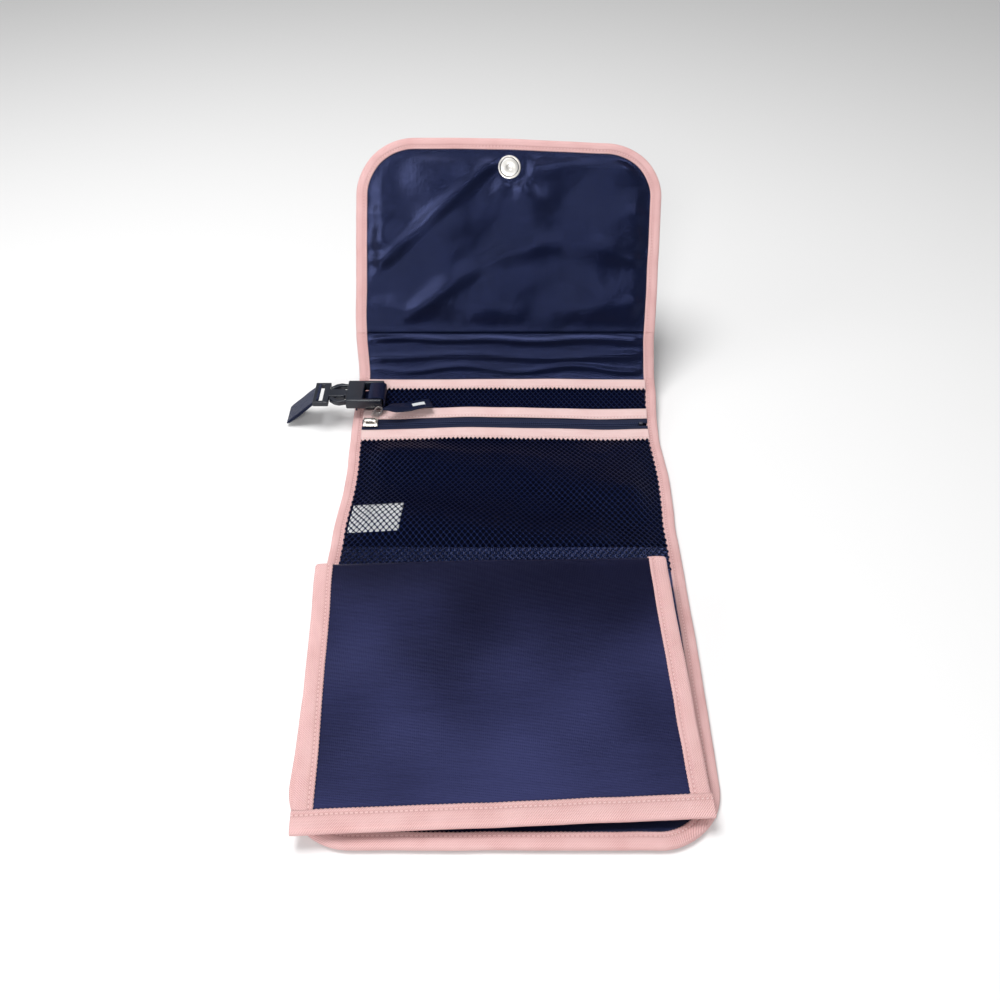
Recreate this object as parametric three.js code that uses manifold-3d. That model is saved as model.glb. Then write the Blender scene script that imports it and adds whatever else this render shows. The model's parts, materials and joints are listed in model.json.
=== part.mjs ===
// A hanging toiletry bag, opened out on a table. It is one long strip with two fold-over ends: a flap,
// a narrow top spine, the back panel with its zipped mesh pocket, a bottom spine and the front panel.
// A canvas leaf stands on the front panel and lies over it. A side-release buckle with a webbing loop
// is sewn to the left edge, and a magnetic snap holds the flap shut.
// Millimetres, +X right, +Y from the front panel to the flap, +Z up, table at Z = 0.

import * as THREE from 'three';
import { mergeVertices } from 'three/addons/utils/BufferGeometryUtils.js';
import Module from 'manifold-3d';

const wasm = await Module();
wasm.setup();

// Driving dimensions
const WIDTH = 240; // the shell, over its bindings
const BINDING = 9; // how far a folded binding tape reaches in from an edge
const GAP = 0.3; // between pieces that touch
const TAPE = 0.7; // one thickness of binding tape
const CANVAS = 0.8;
const BOARD = 1.2; // the stiffener in each large panel
const LINING = 0.5;
const THICK = 2 * TAPE + CANVAS + BOARD + LINING + 4 * GAP; // a whole panel at its binding
const SEAM = 1.5; // from a fold's axis to the first edge of each panel

const FLAP_LENGTH = 152;
const FLAP_RADIUS = 45;
const FLAP_ANGLE = 56; // degrees above the table
const SPINE_LENGTH = 38;
const SPINE_ANGLE = 50;
const BACK_NEAR = -36; // the fold between the back panel and the bottom spine
const BACK_KINK = 80; // from here the back panel rises towards the top spine
const RISE = THREE.MathUtils.radToDeg(Math.atan2(13, 62));
const RISE_LENGTH = 63.3;
const BOTTOM_LENGTH = 38.6;
const FRONT_LENGTH = 178.5;
const FRONT_RADIUS = 38;
const FRONT_TILT = 1.4; // the front panel leans on the snap stud beneath it

const LEAF_WIDTH = 221;
const LEAF_LENGTH = 168;
const LEAF_HEIGHT = 29; // of the leaf's fold above the front panel
const LEAF_BACK = 5.9; // from the front panel's fold to the leaf's fold
const LEAF_SIDE = -9.4; // the leaf sits off centre
const LEAF_YAW = 2.6; // and a little askew
const LEAF_DROP = 9.2; // degrees down from its fold to its free edge
const LEAF_TAPE = 0.6;
const LEAF_THICK = 2 * LEAF_TAPE + 2 * CANVAS + 3 * GAP;

const SNAP_RADIUS = 9;
const SNAP_SIDE = 3.5; // the snap sits right of the centre line
const SNAP_ON_FLAP = 129; // from the flap's fold
const SNAP_ON_FRONT = 52; // from the front panel's fold

const WEB_WIDTH = 20;
const WEB = 1.2;
const BUCKLE_WIDTH = 27;
const BUCKLE_BAR = [-97.6, 113.6, 23.3]; // the socket's webbing bar, which the strap swings about
const SLIDER_X = -105;
const CENTRE = [27.09, -0.69]; // brings the middle of the whole to X = 0, Y = 0

const NAVY_CANVAS = 0x1f2146;
const NAVY_SATIN = 0x121c3c;
const NAVY_MESH = 0x10152c;
const NAVY_PLASTIC = 0x0e1220;
const PINK = 0xf3c3bc;
const METAL = 0xc9c7c0;
const WHITE = 0xe8e8ea;
const GREY_BOARD = 0x8a8d92;

const radians = THREE.MathUtils.degToRad;
const bag = new THREE.Group();

// Plain shapes and booleans

function box(x0, x1, y0, y1, z0, z1) {
  const shape = new THREE.BoxGeometry(x1 - x0, y1 - y0, z1 - z0);
  return shape.translate((x0 + x1) / 2, (y0 + y1) / 2, (z0 + z1) / 2);
}

function disc(radius, x, y, z0, z1, sides = 28) {
  const shape = new THREE.CylinderGeometry(radius, radius, z1 - z0, sides);
  return shape.rotateX(Math.PI / 2).translate(x, y, (z0 + z1) / 2);
}

function plate(shape, z0, z1) {
  const options = { depth: z1 - z0, bevelEnabled: false, curveSegments: 7 };
  return new THREE.ExtrudeGeometry(shape, options).translate(0, 0, z0);
}

function polygon(points) {
  return new THREE.Shape(points.map(([x, y]) => new THREE.Vector2(x, y)));
}

function solid(geometry) {
  const plain = geometry.clone();
  plain.deleteAttribute('normal');
  plain.deleteAttribute('uv');
  const merged = mergeVertices(plain, 1e-4);
  return new wasm.Manifold(
    new wasm.Mesh({
      numProp: 3,
      vertProperties: new Float32Array(merged.attributes.position.array),
      triVerts: new Uint32Array(merged.index.array),
    }),
  );
}

function shapeOf(body) {
  const { vertProperties, triVerts } = body.getMesh();
  const geometry = new THREE.BufferGeometry();
  geometry.setAttribute('position', new THREE.BufferAttribute(new Float32Array(vertProperties), 3));
  geometry.setIndex(new THREE.BufferAttribute(new Uint32Array(triVerts), 1));
  geometry.computeVertexNormals();
  return geometry;
}

function join(...shapes) {
  return shapeOf(shapes.map(solid).reduce((all, next) => all.add(next)));
}

function cut(shape, ...tools) {
  return shapeOf(tools.map(solid).reduce((left, tool) => left.subtract(tool), solid(shape)));
}

function add(group, name, geometry, color, roughness = 0.8, metalness = 0) {
  const mesh = new THREE.Mesh(geometry, new THREE.MeshStandardMaterial({ color, roughness, metalness }));
  mesh.name = name;
  group.add(mesh);
}

function groupAt(parent, x, y, z) {
  const group = new THREE.Group();
  group.position.set(x, y, z);
  parent.add(group);
  return group;
}

// A panel's outline: across in x, away from its fold in y, with round or square far corners

function outline(halfWidth, near, far, radius) {
  const shape = new THREE.Shape();
  shape.moveTo(-halfWidth, near);
  shape.lineTo(halfWidth, near);
  if (radius > 0) {
    shape.lineTo(halfWidth, far - radius);
    shape.absarc(halfWidth - radius, far - radius, radius, 0, Math.PI / 2, false);
    shape.lineTo(radius - halfWidth, far);
    shape.absarc(radius - halfWidth, far - radius, radius, Math.PI / 2, Math.PI, false);
  } else {
    shape.lineTo(halfWidth, far);
    shape.lineTo(-halfWidth, far);
  }
  return shape;
}

// The levels of a panel's layers, up from the outside of its binding
const LEVEL = {
  canvas: [TAPE + GAP, TAPE + GAP + CANVAS],
  board: [TAPE + 2 * GAP + CANVAS, TAPE + 2 * GAP + CANVAS + BOARD],
  lining: [THICK - TAPE - GAP - LINING, THICK - TAPE - GAP],
};

// A large panel: canvas, board, lining and one binding round three sides, with holes for the snap.
// Its frame has the fold's axis along x at the lining side, so everything lies below z = 0.
function roundedPanel(group, name, length, radius, holes) {
  const half = WIDTH / 2;
  const layers = groupAt(group, 0, 0, -THICK);
  const layer = (inset, [z0, z1], hole) => {
    const sheet = outline(half - inset, SEAM, length - inset, radius - inset);
    sheet.holes.push(new THREE.Path().absarc(holes.x, holes.y, hole, 0, 2 * Math.PI, false));
    return plate(sheet, z0, z1);
  };
  const skin = TAPE + GAP;
  add(layers, `${name}_canvas`, layer(skin, LEVEL.canvas, holes.canvas), NAVY_CANVAS, 0.6);
  add(layers, `${name}_board`, layer(BINDING + 2, LEVEL.board, holes.board), GREY_BOARD, 0.9);
  add(layers, `${name}_lining`, layer(skin, LEVEL.lining, holes.lining), NAVY_SATIN, 0.35);
  const open = SEAM - 1;
  const binding = cut(
    plate(outline(half, SEAM, length, radius), 0, THICK),
    plate(outline(half - TAPE, open, length - TAPE, radius - TAPE), TAPE, THICK - TAPE),
    plate(outline(half - BINDING, open, length - BINDING, radius - BINDING), -1, THICK + 1),
  );
  add(layers, `${name}_binding`, binding, PINK, 0.85);
}

// A narrow panel between two folds: canvas, lining and a binding at each end. The bottom spine is
// turned end for end, so its left side is at the far end of its own x.
function spinePanel(group, name, length, sides) {
  const half = WIDTH / 2;
  const far = length - SEAM;
  const layers = groupAt(group, 0, 0, -THICK);
  const inner = half - TAPE - GAP;
  add(layers, `${name}_canvas`, box(-inner, inner, SEAM, far, ...LEVEL.canvas), NAVY_CANVAS, 0.6);
  add(layers, `${name}_lining`, box(-inner, inner, SEAM, far, ...LEVEL.lining), NAVY_SATIN, 0.35);
  const near = cut(
    box(-half, BINDING - half, SEAM, far, 0, THICK),
    box(TAPE - half, BINDING - half + 1, SEAM - 1, far + 1, TAPE, THICK - TAPE),
  );
  add(layers, `${name}_binding_${sides[0]}`, near, PINK, 0.85);
  const other = cut(
    box(half - BINDING, half, SEAM, far, 0, THICK),
    box(half - BINDING - 1, half - TAPE, SEAM - 1, far + 1, TAPE, THICK - TAPE),
  );
  add(layers, `${name}_binding_${sides[1]}`, other, PINK, 0.85);
}

// Back panel: flat on the table as far as the kink, then rising to the top spine

const rise = radians(RISE);
const backFar = RISE_LENGTH - SEAM;

function bentLine(height) {
  return [
    [BACK_NEAR + SEAM, height],
    [BACK_KINK - height * Math.tan(rise / 2), height],
    [
      BACK_KINK + backFar * Math.cos(rise) - height * Math.sin(rise),
      backFar * Math.sin(rise) + height * Math.cos(rise),
    ],
  ];
}

function bentSheet(x0, x1, low, high) {
  const section = polygon([...bentLine(low), ...bentLine(high).reverse()]);
  const sheet = new THREE.ExtrudeGeometry(section, { depth: x1 - x0, bevelEnabled: false });
  const turn = new THREE.Matrix4().makeBasis(
    new THREE.Vector3(0, 1, 0),
    new THREE.Vector3(0, 0, 1),
    new THREE.Vector3(1, 0, 0),
  );
  return sheet.applyMatrix4(turn).translate(x0, 0, 0);
}

function backPanel() {
  const half = WIDTH / 2;
  const inner = half - TAPE - GAP;
  const boardHalf = half - BINDING - 2;
  add(bag, 'back_canvas', bentSheet(-inner, inner, ...LEVEL.canvas), NAVY_CANVAS, 0.6);
  add(bag, 'back_board', bentSheet(-boardHalf, boardHalf, ...LEVEL.board), GREY_BOARD, 0.9);
  add(bag, 'back_lining', bentSheet(-inner, inner, ...LEVEL.lining), NAVY_SATIN, 0.35);
  for (const [side, x0, x1, wall0, wall1] of [
    ['left', -half, BINDING - half, -half, TAPE - half],
    ['right', half - BINDING, half, half - TAPE, half],
  ]) {
    const channel = join(
      bentSheet(x0, x1, 0, TAPE),
      bentSheet(x0, x1, THICK - TAPE, THICK),
      bentSheet(wall0, wall1, 0, THICK),
    );
    add(bag, `back_binding_${side}`, channel, PINK, 0.85);
  }
}

// Mesh pocket: a shallow tray of mesh over the flat part, open under the zip. The tape at its lower
// end is sewn to the bottom spine.

const POCKET_TOP = 9.6;
const MESH = 0.6;

function meshPocket() {
  const half = WIDTH / 2 - BINDING - 0.5;
  const near = BACK_NEAR + 4;
  const far = BACK_KINK - 1.5;
  const tray = cut(
    box(-half, half, near, far, THICK - TAPE, POCKET_TOP),
    box(MESH - half, half - MESH, near + MESH, far + 1, 0, POCKET_TOP - MESH),
  );
  add(bag, 'mesh_pocket', tray, NAVY_MESH, 0.9);
  const label = box(-109.4, -74, -23, 5, THICK - TAPE, THICK - TAPE + 0.4);
  add(bag, 'care_label', label, WHITE, 0.7);
}

// The rising part carries the zip between two picot tapes, with a band of mesh above it

const slope = groupAt(bag, 0, BACK_KINK, 0);
slope.rotation.x = rise;
const ZIP_LOW = 1.2; // the first tape's near edge, along the slope
const TAPE_LOW = [ZIP_LOW, 11];
const TEETH = [11.3, 19.7];
const TAPE_HIGH = [20, 31];
const BAND = [21, 61];
const TAPE_TOP = [51.5, 61.5];
const SHEET = [6.0, 6.6];
const OVER = [6.9, 7.5];

function zipFront() {
  const half = WIDTH / 2 - BINDING - 0.5;
  const middle = (TEETH[0] + TEETH[1]) / 2;
  add(slope, 'mesh_band', box(-half, half, ...BAND, ...SHEET), NAVY_MESH, 0.9);
  add(slope, 'top_tape', box(-half, half, ...TAPE_TOP, ...OVER), PINK, 0.85);
  add(slope, 'zip_edge_tape_upper', box(-half, half, ...TAPE_HIGH, ...OVER), PINK, 0.85);
  add(slope, 'zip_edge_tape_lower', box(-half, half, ...TAPE_LOW, ...OVER), PINK, 0.85);
  const split = 0.5; // half the gap between the two coils, which the slider's nose runs in
  const coil = 1.3;
  const upper = box(-half, half, middle + coil + GAP, BAND[0] - GAP, ...SHEET);
  const lower = box(-half, half, TAPE_LOW[0] + 2, middle - coil - GAP, ...SHEET);
  add(slope, 'zip_tape_upper', upper, NAVY_SATIN, 0.8);
  add(slope, 'zip_tape_lower', lower, NAVY_SATIN, 0.8);
  const coilLow = SHEET[0];
  const coilHigh = SHEET[1] + 0.8;
  const end = half - 6;
  add(slope, 'zip_coil_upper', box(-end, end, middle + split, middle + coil, coilLow, coilHigh), NAVY_SATIN);
  add(slope, 'zip_coil_lower', box(-end, end, middle - coil, middle - split, coilLow, coilHigh), NAVY_SATIN);
  add(slope, 'zip_stop_right', box(end + GAP, end + 3, middle - 1.1, middle + 1.1, 5.7, 7.9), METAL, 0.3, 1);
}

// Zip slider: two plates over and under the coils, joined by a thin nose that runs between them, with
// a bridge on top for the pull tab

function zipSlider() {
  const middle = (TEETH[0] + TEETH[1]) / 2;
  const slider = groupAt(slope, SLIDER_X, middle, 0);
  const body = join(
    box(-5.6, 5.6, -4.2, 4.2, 8.0, 8.9),
    box(-5.6, 5.6, -4.2, 4.2, 4.5, 5.4),
    box(-5.6, -4.2, -0.2, 0.2, 5.0, 8.5),
    box(-4.4, -3.2, -1.2, 1.2, 8.5, 11.6),
    box(3.2, 4.4, -1.2, 1.2, 8.5, 11.6),
    box(-4.4, 4.4, -1.2, 1.2, 10.8, 11.9),
  );
  add(slider, 'zip_slider', body, METAL, 0.3, 1);
}

// Pull tab: a flat metal link that hangs on the slider's bridge and leans on the buckle, its own x
// across the tab, y along it. The ribbon puller is looped through the hole at its end.

const TAB_BASE = [-101.8, 93.2, 16.4];
const TAB_ALONG = new THREE.Vector3(0.536, 0.16, 0.829).normalize();
const TAB_ACROSS = new THREE.Vector3(TAB_ALONG.z, 0, -TAB_ALONG.x).normalize();
const TAB_HOLE = 7.6;

function pullTab() {
  const tab = groupAt(bag, ...TAB_BASE);
  const normal = new THREE.Vector3().crossVectors(TAB_ACROSS, TAB_ALONG);
  const frame = new THREE.Matrix4().makeBasis(TAB_ACROSS, TAB_ALONG, normal);
  tab.setRotationFromMatrix(frame);
  const link = outline(3.2, 0, 10.8, 3.1);
  link.holes.push(new THREE.Path().absarc(0, TAB_HOLE, 1.9, 0, 2 * Math.PI, false));
  add(tab, 'zip_pull_tab', plate(link, -0.6, 0.6), METAL, 0.3, 1);

  const hole = TAB_ALONG.clone().multiplyScalar(TAB_HOLE).add(tab.position);
  const ribbon = groupAt(bag, hole.x, hole.y, hole.z);
  ribbon.rotation.set(0, radians(5), radians(19), 'ZYX');
  const strap = polygon([[3.6, -1], [11.5, -5.5], [42, -5.5], [42, 5.5], [11.5, 5.5], [3.6, 1]]);
  add(ribbon, 'ribbon_puller', plate(strap, -0.5, 0.5), NAVY_CANVAS, 0.6);
}

// Side-release buckle, lying flat on the left edge. Its own x runs from the webbing bar towards the
// mouth as negative values, and z = 0 is the middle of its thickness.

const buckle = groupAt(bag, ...BUCKLE_BAR);
const HALF_BUCKLE = BUCKLE_WIDTH / 2;
const BODY_LOW = -3.9;
const BODY_HIGH = 4.3;
const MOUTH = -26.4;
const CAVITY_END = -18.1;

function buckleSocket() {
  const socket = cut(
    box(MOUTH, 1.6, -HALF_BUCKLE, HALF_BUCKLE, BODY_LOW, BODY_HIGH),
    box(MOUTH - 1, CAVITY_END, -11.9, 11.9, BODY_LOW + 1.4, BODY_HIGH - 1.4),
    box(-13.4, -1.6, -10.6, 10.6, BODY_LOW - 1, BODY_HIGH + 1),
    box(-2, 2, -10.6, 10.6, BODY_LOW - 1, -1.6),
    box(-2, 2, -10.6, 10.6, 1.6, BODY_HIGH + 1),
  );
  add(buckle, 'buckle_socket', socket, NAVY_PLASTIC, 0.4);
}

function bucklePlug() {
  const low = -1.9;
  const high = 2.3;
  const frame = cut(
    box(-52.4, -40.4, -13, 13, low, high),
    box(-49.4, -44.9, -10.6, 10.6, low - 1, high + 1),
  );
  const plug = join(
    frame,
    box(-41, -28.4, -4.6, 4.6, low, high),
    box(-29, -19.4, -3.6, 3.6, low, high),
  );
  add(buckle, 'buckle_plug', plug, NAVY_PLASTIC, 0.4);
  const arm = [
    [-39.9, 7.6], [-35.8, 11.2], [-31.6, 12.4], [-28.2, 11.4], [-19.3, 10.6],
    [-19.3, 8.8], [-27.8, 9.2], [-32.8, 9.2], [-37.2, 5.6], [-39.9, 5.6],
  ];
  const back = plate(polygon(arm.toReversed()), low, high);
  const front = plate(polygon(arm.map(([x, y]) => [x, -y])), low, high);
  add(buckle, 'buckle_prong_back', back, NAVY_PLASTIC, 0.4);
  add(buckle, 'buckle_prong_front', front, NAVY_PLASTIC, 0.4);
}

// Webbing: a sewn tab that ties the socket's bar to the left binding, and the hanging loop

function webbing() {
  const half = WEB_WIDTH / 2;
  const bottom = -5.4;
  const tab = join(
    box(-19.4, 3.8, -half, half, bottom, bottom + WEB),
    box(2.6, 3.8, -half, half, bottom, 4.5),
    box(-9.6, 3.8, -half, half, 3.3, 4.5),
    box(-9.6, -8.4, -half, half, bottom, 4.5),
    box(-19.4, -15.4, -half, half, bottom - 3, bottom + WEB),
  );
  add(buckle, 'strap_tab', tab, NAVY_CANVAS, 0.5);

  const loop = groupAt(buckle, -50.9, 0, 0.2);
  loop.rotation.y = radians(-40);
  const ring = (start, end, radius) => {
    const shape = new THREE.Shape();
    shape.absarc(start, 0, radius, -Math.PI / 2, Math.PI / 2, false);
    shape.absarc(end, 0, radius, Math.PI / 2, 1.5 * Math.PI, false);
    return shape;
  };
  const band = ring(0, -27.4, 4.7);
  band.holes.push(ring(0, -27.4, 4.7 - WEB));
  const strap = new THREE.ExtrudeGeometry(band, { depth: WEB_WIDTH, bevelEnabled: false, curveSegments: 10 });
  add(loop, 'strap_loop', strap.rotateX(Math.PI / 2).translate(0, half, 0), NAVY_CANVAS, 0.5);
}

// Magnetic snap: a socket on the flap's lining and a stud on the front panel's canvas, each with a
// post through the cloth into a washer that lies in a hole in the board

function snapSocket(group) {
  const snap = groupAt(group, SNAP_SIDE, SNAP_ON_FLAP, -THICK);
  const low = LEVEL.lining[1] + GAP;
  const high = low + 2.4;
  const post = disc(2.9, 0, 0, LEVEL.board[0], low + 0.5, 16);
  const cup = join(disc(SNAP_RADIUS, 0, 0, low, low + 0.7), post);
  const rim = cut(disc(SNAP_RADIUS, 0, 0, low + 0.5, high), disc(7.4, 0, 0, low + 0.4, high + 1));
  add(snap, 'snap_socket_cup', join(cup, rim), METAL, 0.25, 1);
  const magnet = cut(disc(7.0, 0, 0, low + 1, high - 0.2), disc(2.3, 0, 0, low + 1.2, high + 1, 16));
  add(snap, 'snap_socket_magnet', magnet, 0xd8d4c4, 0.4, 0.6);
  const washer = cut(disc(8.2, 0, 0, ...LEVEL.board), disc(3.2, 0, 0, 0, THICK, 16));
  add(snap, 'snap_socket_washer', washer, METAL, 0.4, 1);
}

function snapStud(group) {
  const snap = groupAt(group, -SNAP_SIDE, SNAP_ON_FRONT, -THICK);
  const high = LEVEL.canvas[0] - GAP;
  const low = high - 1.6;
  const post = disc(2.9, 0, 0, high - 0.3, LEVEL.board[1], 16);
  add(snap, 'snap_stud', join(disc(SNAP_RADIUS, 0, 0, low, high), post), METAL, 0.25, 1);
  const washer = cut(disc(8.2, 0, 0, ...LEVEL.board), disc(3.2, 0, 0, 0, THICK, 16));
  add(snap, 'snap_stud_washer', washer, METAL, 0.4, 1);
}

// Leaf: a canvas wall sewn to the front panel's lining, and a bound canvas page hinged on its top

function leaf(front) {
  const half = LEAF_WIDTH / 2;
  const yawed = groupAt(front, -LEAF_SIDE, LEAF_BACK, 0);
  yawed.rotation.z = radians(LEAF_YAW);
  const wallTop = LEAF_HEIGHT - 3.2;
  add(yawed, 'leaf_wall', box(-half + BINDING, half - BINDING, -0.6, 0.6, GAP, wallTop), NAVY_CANVAS, 0.6);
  for (const [side, x0, x1] of [['right', -half, BINDING - half], ['left', half - BINDING, half]]) {
    const inset = side === 'right' ? [x0, x1 - GAP] : [x0 + GAP, x1];
    add(yawed, `leaf_wall_binding_${side}`, box(...inset, -1.2, 1.2, GAP, wallTop), PINK, 0.85);
  }

  const page = groupAt(yawed, 0, 0, LEAF_HEIGHT);
  page.rotation.x = radians(-LEAF_DROP);
  const layers = groupAt(page, 0, 0, -LEAF_THICK / 2);
  const near = 0;
  const inner = half - LEAF_TAPE - GAP;
  const far = LEAF_LENGTH - LEAF_TAPE - GAP;
  const backing = LEAF_TAPE + GAP;
  const canvas = backing + CANVAS + GAP;
  add(layers, 'page_canvas', box(-inner, inner, near, far, canvas, canvas + CANVAS), NAVY_CANVAS, 0.6);
  add(layers, 'page_backing', box(-inner, inner, near, far, backing, backing + CANVAS), NAVY_SATIN, 0.4);
  const sideEnd = LEAF_LENGTH - BINDING - GAP;
  for (const [side, x0, x1] of [['right', -half, BINDING - half], ['left', half - BINDING, half]]) {
    const slot0 = side === 'right' ? x0 + LEAF_TAPE : x0 - 1;
    const slot1 = side === 'right' ? x1 + 1 : x1 - LEAF_TAPE;
    const channel = cut(
      box(x0, x1, near, sideEnd, 0, LEAF_THICK),
      box(slot0, slot1, near - 1, sideEnd + 1, LEAF_TAPE, LEAF_THICK - LEAF_TAPE),
    );
    add(layers, `page_binding_${side}`, channel, PINK, 0.85);
  }
  const hem = cut(
    box(-half, half, LEAF_LENGTH - BINDING, LEAF_LENGTH, 0, LEAF_THICK),
    box(-half - 1, half + 1, 0, LEAF_LENGTH - LEAF_TAPE, LEAF_TAPE, LEAF_THICK - LEAF_TAPE),
  );
  add(layers, 'page_binding_bottom', hem, PINK, 0.85);
}

// The folds, outwards from the back panel

function topEnd() {
  const y = BACK_KINK + RISE_LENGTH * Math.cos(rise) - THICK * Math.sin(rise);
  const z = RISE_LENGTH * Math.sin(rise) + THICK * Math.cos(rise);
  const spine = groupAt(bag, 0, y, z);
  spine.rotation.x = radians(SPINE_ANGLE);
  spinePanel(spine, 'top_spine', SPINE_LENGTH, ['left', 'right']);
  const flap = groupAt(spine, 0, SPINE_LENGTH, 0);
  flap.rotation.x = radians(FLAP_ANGLE - SPINE_ANGLE);
  const holes = { x: SNAP_SIDE, y: SNAP_ON_FLAP, canvas: 0.5, board: 8.5, lining: 3.3 };
  roundedPanel(flap, 'flap', FLAP_LENGTH, FLAP_RADIUS, holes);
  snapSocket(flap);
}

function bottomEnd() {
  const spine = groupAt(bag, 0, BACK_NEAR, THICK);
  spine.rotation.z = Math.PI;
  spinePanel(spine, 'bottom_spine', BOTTOM_LENGTH, ['right', 'left']);
  const tapeHalf = WIDTH / 2 - BINDING - 0.5;
  const tape = box(-tapeHalf, tapeHalf, 22, 28, -TAPE, -0.2);
  add(spine, 'pocket_bottom_tape', tape, PINK, 0.85);
  const front = groupAt(spine, 0, BOTTOM_LENGTH, 0);
  front.rotation.x = radians(FRONT_TILT);
  const holes = { x: -SNAP_SIDE, y: SNAP_ON_FRONT, canvas: 3.3, board: 8.5, lining: 0.5 };
  roundedPanel(front, 'front', FRONT_LENGTH, FRONT_RADIUS, holes);
  snapStud(front);
  leaf(front);
}

backPanel();
meshPocket();
zipFront();
zipSlider();
pullTab();
buckleSocket();
bucklePlug();
webbing();
topEnd();
bottomEnd();

bag.position.set(CENTRE[0], CENTRE[1], 0);

export default bag;
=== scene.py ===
import math

import bmesh
import bpy
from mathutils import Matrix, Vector, noise
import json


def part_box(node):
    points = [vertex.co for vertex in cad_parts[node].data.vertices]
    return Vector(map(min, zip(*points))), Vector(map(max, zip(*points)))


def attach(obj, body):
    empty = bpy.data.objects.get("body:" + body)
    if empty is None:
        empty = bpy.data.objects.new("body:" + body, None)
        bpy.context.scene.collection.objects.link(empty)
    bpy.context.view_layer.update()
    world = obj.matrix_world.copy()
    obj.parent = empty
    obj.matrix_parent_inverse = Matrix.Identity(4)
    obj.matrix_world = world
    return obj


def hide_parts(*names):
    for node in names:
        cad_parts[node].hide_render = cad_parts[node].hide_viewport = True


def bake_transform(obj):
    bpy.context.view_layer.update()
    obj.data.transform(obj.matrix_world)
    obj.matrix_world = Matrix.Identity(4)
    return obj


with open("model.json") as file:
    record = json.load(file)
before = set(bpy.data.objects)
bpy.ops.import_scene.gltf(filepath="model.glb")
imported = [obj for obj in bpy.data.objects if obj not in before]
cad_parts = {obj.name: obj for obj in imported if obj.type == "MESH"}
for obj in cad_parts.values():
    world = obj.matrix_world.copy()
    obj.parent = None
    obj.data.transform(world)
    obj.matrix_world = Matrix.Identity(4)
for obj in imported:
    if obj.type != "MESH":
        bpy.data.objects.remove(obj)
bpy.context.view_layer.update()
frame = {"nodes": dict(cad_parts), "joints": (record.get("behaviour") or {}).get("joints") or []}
cad_nodes = frame["nodes"]
pivots = {joint["name"]: Vector(joint["pos_m"]) * 1000 for joint in frame["joints"]}

# Table, lamps and camera.
# A wide white table under a big soft overhead lamp, with the camera standing in front of the bag
# and looking down over it.

bag_centre = pivots["bottom_spine_fold"].x
table_mesh = bpy.data.meshes.new("table")
bm = bmesh.new()
bmesh.ops.create_grid(bm, x_segments=1, y_segments=1, size=6)
bmesh.ops.translate(bm, verts=bm.verts, vec=(0, 0, -0.0004))
bm.to_mesh(table_mesh)
bm.free()
table = bpy.data.objects.new("table", table_mesh)
bpy.context.scene.collection.objects.link(table)

table_paint = bpy.data.materials.new("table_paint")
table_paint.use_nodes = True
paint_shader = table_paint.node_tree.nodes["Principled BSDF"]
paint_shader.inputs["Base Color"].default_value = (0.80, 0.80, 0.80, 1)
paint_shader.inputs["Roughness"].default_value = 0.9
paint_shader.inputs["Specular IOR Level"].default_value = 0.1
table_mesh.materials.append(table_paint)


def lamp(name, place, aim, size, watts):
    light = bpy.data.lights.new(name, "AREA")
    light.shape = "DISK"
    light.size = size
    light.energy = watts
    holder = bpy.data.objects.new(name, light)
    bpy.context.scene.collection.objects.link(holder)
    holder.location = place
    direction = Vector(aim) - Vector(place)
    holder.rotation_euler = direction.to_track_quat("-Z", "Y").to_euler()


lamp("overhead_lamp", (-0.3, 0.1, 1.5), (0.03, 0, 0.03), 0.8, 19)
lamp("front_lamp", (-0.25, -1.45, 1.0), (0, 0.1, 0.1), 0.45, 13)
lamp("side_lamp", (-1.5, -0.3, 0.9), (0, 0, 0.05), 0.9, 4)

room = bpy.data.worlds.new("room")
room.use_nodes = True
room.node_tree.nodes["Background"].inputs["Color"].default_value = (1, 1, 1, 1)
room.node_tree.nodes["Background"].inputs["Strength"].default_value = 0.34
bpy.context.scene.world = room

camera = bpy.data.objects.new("camera", bpy.data.cameras.new("camera"))
bpy.context.scene.collection.objects.link(camera)
camera.data.lens = 34.56
camera.data.sensor_width = 36
camera.data.clip_start = 0.01
camera.location = ((bag_centre - 4) / 1000, (pivots["bottom_spine_fold"].y - 464) / 1000, 0.473)
camera.rotation_euler = (math.radians(47.5), 0, 0)
bpy.context.scene.camera = camera
bpy.context.scene.view_settings.view_transform = "Standard"

# The strip that the whole bag is cut from.
# Canvas, board and lining run in one length from the flap's tip to the front panel's end, and it
# bends at four folds. Across is measured from the middle and along from the back panel's lower fold.

front_fold = pivots["front_panel_fold"]
lower_fold = pivots["bottom_spine_fold"]
upper_fold = pivots["top_spine_fold"]
flap_fold = pivots["flap_fold"]
RISE = math.atan2(13, 62)
kink_y = upper_fold.y - (upper_fold.z - lower_fold.z) / math.tan(RISE)
FLAP_LENGTH = 152
FLAP_SLOPE = math.radians(56)
FRONT_LENGTH = 181
FRONT_SLOPE = math.radians(1.4)
HALF = 120
THICK = 5.1
corners = [
    Vector(
        (
            front_fold.y - FRONT_LENGTH * math.cos(FRONT_SLOPE),
            front_fold.z + FRONT_LENGTH * math.sin(FRONT_SLOPE),
        )
    ),
    Vector((front_fold.y, front_fold.z)),
    Vector((lower_fold.y, lower_fold.z)),
    Vector((kink_y, lower_fold.z)),
    Vector((upper_fold.y, upper_fold.z)),
    Vector((flap_fold.y, flap_fold.z)),
    Vector(
        (
            flap_fold.y + FLAP_LENGTH * math.cos(FLAP_SLOPE),
            flap_fold.z + FLAP_LENGTH * math.sin(FLAP_SLOPE),
        )
    ),
]
easing = [0, 5, 0.1, 5, 9, 8, 0]
stations = [0]
for first, second in zip(corners, corners[1:]):
    stations.append(stations[-1] + (second - first).length)
stations = [station - stations[2] for station in stations]
FRONT_END, FRONT_FOLD, _, KINK, TOP_FOLD, FLAP_FOLD, FLAP_END = stations


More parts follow.
